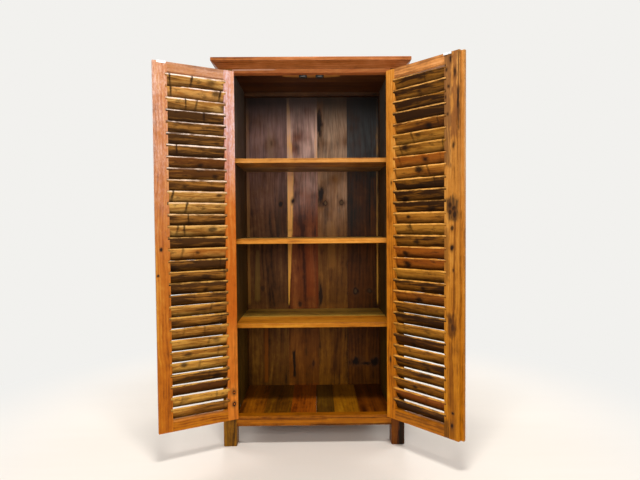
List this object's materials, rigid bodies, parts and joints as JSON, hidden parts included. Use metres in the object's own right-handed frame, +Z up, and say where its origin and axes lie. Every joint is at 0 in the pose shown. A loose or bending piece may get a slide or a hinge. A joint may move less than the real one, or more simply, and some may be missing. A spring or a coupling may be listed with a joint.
{
  "type": "louvred door cabinet",
  "caption": "Tall plank-built teak cabinet on square posts, with a moulded cornice, fixed shelves and inset louvred doors that stand open on butt hinges.",
  "frame": {"origin": "on the floor, under the centre of the whole part's plan box with its doors open as stored", "axes": "+X to the right along the front, +Y into the cabinet towards its back, +Z up"},
  "size_m": [1.2968, 0.7372, 1.8],
  "materials": {
    "left_post_teak": "satin lacquered grey-brown teak",
    "right_post_teak": "satin lacquered dark red-brown teak",
    "rear_post_teak": "satin lacquered dark teak",
    "rail_teak": "satin lacquered red-brown teak",
    "side_teak": "satin lacquered dark teak planks",
    "back_teak": "satin lacquered purple-brown teak planks",
    "floor_teak": "satin lacquered teak planks of mixed colour",
    "shelf_front_teak": "satin lacquered golden teak",
    "shelf_rear_teak": "satin lacquered brown teak",
    "top_teak": "satin lacquered dark teak",
    "cornice_teak": "satin lacquered red-brown teak",
    "catch_board_teak": "satin lacquered yellow teak",
    "slat_teak": "satin lacquered golden teak of mixed colour",
    "stile_teak": "satin lacquered golden teak",
    "knob_teak": "satin lacquered turned teak",
    "hinge_brass": "aged brass",
    "strike_steel": "zinc-plated steel",
    "catch_housing": "dark moulded housing with a bare steel pole"
  },
  "bodies": {
    "carcass": {"front_left_post": "left_post_teak", "rear_left_post": "rear_post_teak", "left_side_panel": "side_teak", "cornice_left": "cornice_teak", "left_catch": "catch_housing", "left_lower_hinge_post_leaf": "hinge_brass", "left_upper_hinge_post_leaf": "hinge_brass", "left_bottom_rail": "rail_teak", "left_top_rail": "rail_teak", "front_right_post": "right_post_teak", "rear_right_post": "rear_post_teak", "right_side_panel": "side_teak", "cornice_right": "cornice_teak", "right_catch": "catch_housing", "right_lower_hinge_post_leaf": "hinge_brass", "right_upper_hinge_post_leaf": "hinge_brass", "right_bottom_rail": "rail_teak", "right_top_rail": "rail_teak", "bottom_front_rail": "rail_teak", "top_front_rail": "rail_teak", "bottom_rear_rail": "rail_teak", "top_rear_rail": "rail_teak", "upper_shelf_front_board": "shelf_front_teak", "upper_shelf_rear_board": "shelf_rear_teak", "middle_shelf_front_board": "shelf_front_teak", "middle_shelf_rear_board": "shelf_rear_teak", "lower_shelf_front_board": "shelf_front_teak", "lower_shelf_rear_board": "shelf_rear_teak", "floor_plank_1": "floor_teak", "floor_plank_2": "floor_teak", "floor_plank_3": "floor_teak", "floor_plank_4": "floor_teak", "floor_plank_5": "floor_teak", "floor_plank_6": "floor_teak", "back_plank_1": "back_teak", "back_plank_2": "back_teak", "back_plank_3": "back_teak", "back_plank_4": "back_teak", "top_front_board": "top_teak", "top_rear_board": "top_teak", "cornice_front": "cornice_teak", "catch_board": "catch_board_teak"},
    "left_door": {"left_hinge_stile_with_slats": "slat_teak", "left_meeting_stile": "stile_teak", "left_door_bottom_rail": "stile_teak", "left_door_top_rail": "stile_teak", "left_strike_plate": "strike_steel", "left_knob": "knob_teak", "left_lower_hinge_door_leaf": "hinge_brass", "left_upper_hinge_door_leaf": "hinge_brass"},
    "right_door": {"right_hinge_stile_with_slats": "slat_teak", "right_meeting_stile": "stile_teak", "right_door_bottom_rail": "stile_teak", "right_door_top_rail": "stile_teak", "right_strike_plate": "strike_steel", "right_knob": "knob_teak", "right_lower_hinge_door_leaf": "hinge_brass", "right_upper_hinge_door_leaf": "hinge_brass"}
  },
  "joints": [
    {"name": "left_door_hinge", "type": "hinge", "parent": "carcass", "child": "left_door", "pos_m": [-0.34037, -0.07689, 0], "axis": [0, 0, 1], "range_deg": [-21.7, 153.3]},
    {"name": "right_door_hinge", "type": "hinge", "parent": "carcass", "child": "right_door", "pos_m": [0.38753, -0.07689, 0], "axis": [0, 0, 1], "range_deg": [-133.5, 41.5]}
  ]
}
